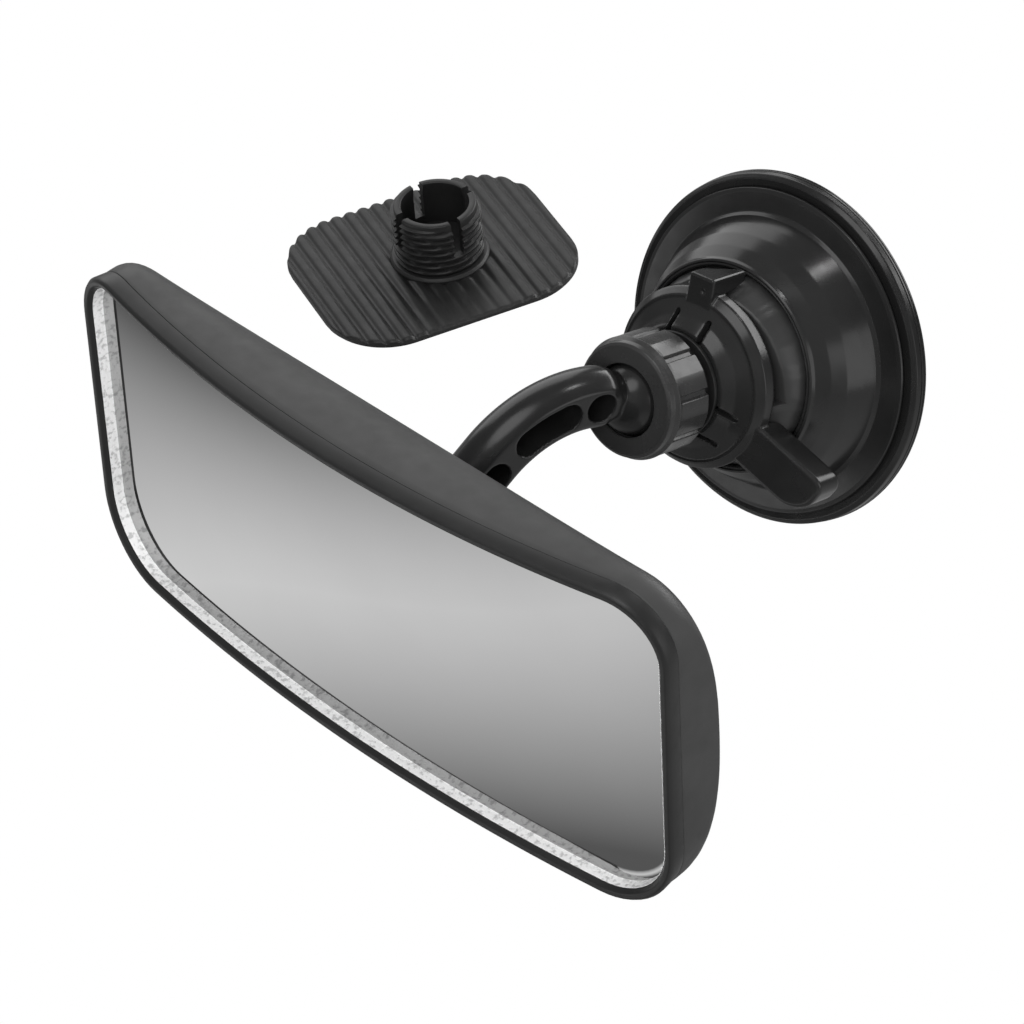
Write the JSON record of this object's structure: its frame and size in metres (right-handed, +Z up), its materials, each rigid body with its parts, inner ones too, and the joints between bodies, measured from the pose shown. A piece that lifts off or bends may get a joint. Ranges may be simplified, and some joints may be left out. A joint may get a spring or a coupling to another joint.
{
  "type": "interior rearview mirror",
  "caption": "Stick-on car interior mirror: bent pillow-backed head on a ball-ended arm, twist-lock suction foot and a spare stick-on base.",
  "frame": {"origin": "on the surface it stands on, below the middle of the whole", "axes": "+Z up, the mirror faces -Y, +X along the mirror's length"},
  "size_m": [0.1972, 0.1384, 0.0695],
  "materials": {
    "shell_plastic": "fine matt moulded black",
    "bezel_plastic": "satin moulded black",
    "gloss_black": "glossy moulded black",
    "satin_black": "satin moulded black",
    "rubber": "smooth black suction rubber",
    "mirror_glass": "silvered glass",
    "foam": "black adhesive foam",
    "steel": "zinc-plated steel",
    "acetal": "natural white acetal"
  },
  "bodies": {
    "foot": {"dome_housing": "gloss_black", "cam_ring": "gloss_black", "suction_rubber": "rubber"},
    "post": {"post_collet": "satin_black", "lift_disc": "satin_black", "stem_screw": "steel"},
    "lever": {"lock_lever": "gloss_black"},
    "nut": {"clamp_nut": "gloss_black"},
    "seat": {"seat_cup": "acetal"},
    "seat_pad": {"seat_pad": "acetal"},
    "arm": {"arm": "gloss_black"},
    "pressure_cup": {"pressure_cup": "acetal"},
    "liner": {"socket_liner": "acetal"},
    "head": {"rear_shell": "shell_plastic", "front_bezel": "bezel_plastic", "mirror_glass": "mirror_glass", "foam_pad_left": "foam", "foam_pad_right": "foam", "retainer_plate": "steel", "plate_screw_1": "steel", "plate_screw_2": "steel", "plate_screw_3": "steel", "plate_screw_4": "steel", "socket_cup": "satin_black", "pressure_spring": "steel"},
    "spare": {"spare_base": "satin_black", "adhesive_pad": "foam"}
  },
  "joints": [
    {"name": "post_lift", "type": "slide", "parent": "foot", "child": "post", "axis": [0.0643, -0.9428, 0.3272], "range_m": [0, 0.0023]},
    {"name": "lever_turn", "type": "hinge", "parent": "post", "child": "lever", "pos_m": [0.02958, 0.03816, 0.03173], "axis": [0.0643, -0.9428, 0.3272], "range_deg": [0, 75]},
    {"name": "nut_turn", "type": "hinge", "parent": "post", "child": "nut", "pos_m": [0.02958, 0.03816, 0.03173], "axis": [0.0643, -0.9428, 0.3272], "range_deg": [0, 180]},
    {"name": "arm_swivel", "type": "hinge", "parent": "post", "child": "seat", "pos_m": [0.03233, -0.00219, 0.04573], "axis": [0.0643, -0.9428, 0.3272], "range_deg": [-120, 120]},
    {"name": "arm_tilt", "type": "hinge", "parent": "seat", "child": "seat_pad", "pos_m": [0.03233, -0.00219, 0.04573], "axis": [-0.5872, -0.3009, -0.7515], "range_deg": [-44, 10]},
    {"name": "arm_spin", "type": "hinge", "parent": "seat_pad", "child": "arm", "pos_m": [0.03233, -0.00219, 0.04573], "axis": [-0.1677, -0.863, 0.4765], "range_deg": [-90, 90]},
    {"name": "head_tilt", "type": "hinge", "parent": "arm", "child": "pressure_cup", "pos_m": [0.02313, -0.04954, 0.03475], "axis": [1, 0, 0], "range_deg": [-3, 60]},
    {"name": "head_pan", "type": "hinge", "parent": "pressure_cup", "child": "liner", "pos_m": [0.02313, -0.04954, 0.03475], "axis": [0, 0, 1], "range_deg": [-32, 10]},
    {"name": "head_roll", "type": "hinge", "parent": "liner", "child": "head", "pos_m": [0.02313, -0.04954, 0.03475], "axis": [0, 1, 0], "range_deg": [-45, 45]},
    {"name": "spare_base_lift", "type": "slide", "parent": "foot", "child": "spare", "axis": [0, 0, 1], "range_m": [0, 0.12]}
  ],
  "couplings": [
    {"joint": "lever_turn", "follows": "post_lift", "rad_per_m": 558.51}
  ]
}
